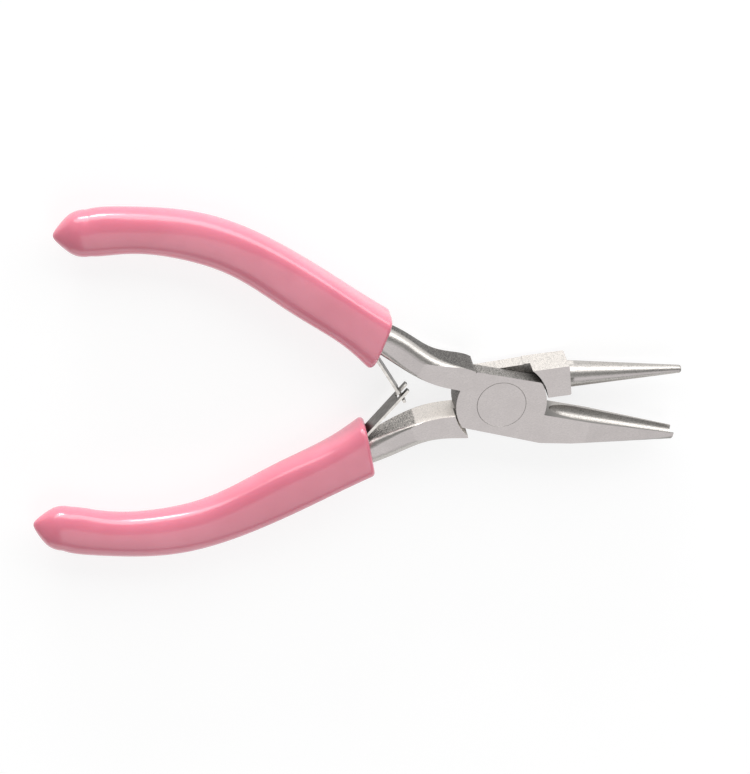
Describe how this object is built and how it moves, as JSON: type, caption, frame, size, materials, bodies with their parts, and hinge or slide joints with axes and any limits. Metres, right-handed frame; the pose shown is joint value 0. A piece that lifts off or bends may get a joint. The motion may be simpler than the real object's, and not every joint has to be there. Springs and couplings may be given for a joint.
{
  "type": "mini round-and-hollow looping pliers",
  "caption": "Small jewellery pliers with one round tapered jaw, one hollow grooved jaw, a riveted lap joint, leaf return springs and dipped bent handles.",
  "frame": {"origin": "on the pivot axis, at the joint's ground back face", "axes": "+X along the handles' bisector towards the jaw tips, +Y towards the round jaw's side, +Z along the pivot axis towards the front face"},
  "size_m": [0.1171, 0.0706, 0.0078],
  "materials": {
    "forged_steel": "satin ground flats, blasted sides",
    "rivet_steel": "ground flush",
    "spring_steel": "rolled strip",
    "grip_vinyl": "dipped gloss pink"
  },
  "bodies": {
    "front": {"front_half": "forged_steel", "pivot_rivet": "rivet_steel", "upper_grip": "grip_vinyl", "upper_spring_rivet": "rivet_steel"},
    "back": {"back_half": "forged_steel", "lower_grip": "grip_vinyl", "lower_spring_rivet": "rivet_steel"},
    "upper_leaf": {"upper_spring_leaf": "spring_steel"},
    "lower_leaf": {"lower_spring_leaf": "spring_steel"}
  },
  "joints": [
    {"name": "jaw_pivot", "type": "hinge", "parent": "front", "child": "back", "pos_m": [0, 0, 0], "axis": [0, 0, 1], "range_deg": [-21.5, 6], "stiffness_Nm_per_rad": 1.6, "deforming": ["upper_spring_leaf", "lower_spring_leaf"]},
    {"name": "upper_leaf_flex", "type": "hinge", "parent": "front", "child": "upper_leaf", "pos_m": [-0.02502, 0.00948, 0], "axis": [0, 0, 1], "range_deg": [-6, 21]},
    {"name": "lower_leaf_flex", "type": "hinge", "parent": "back", "child": "lower_leaf", "pos_m": [-0.02502, -0.00948, 0], "axis": [0, 0, 1], "range_deg": [-21, 6]}
  ],
  "couplings": [
    {"joint": "upper_leaf_flex", "follows": "jaw_pivot", "ratio": -0.958},
    {"joint": "lower_leaf_flex", "follows": "jaw_pivot", "ratio": 0.958}
  ]
}
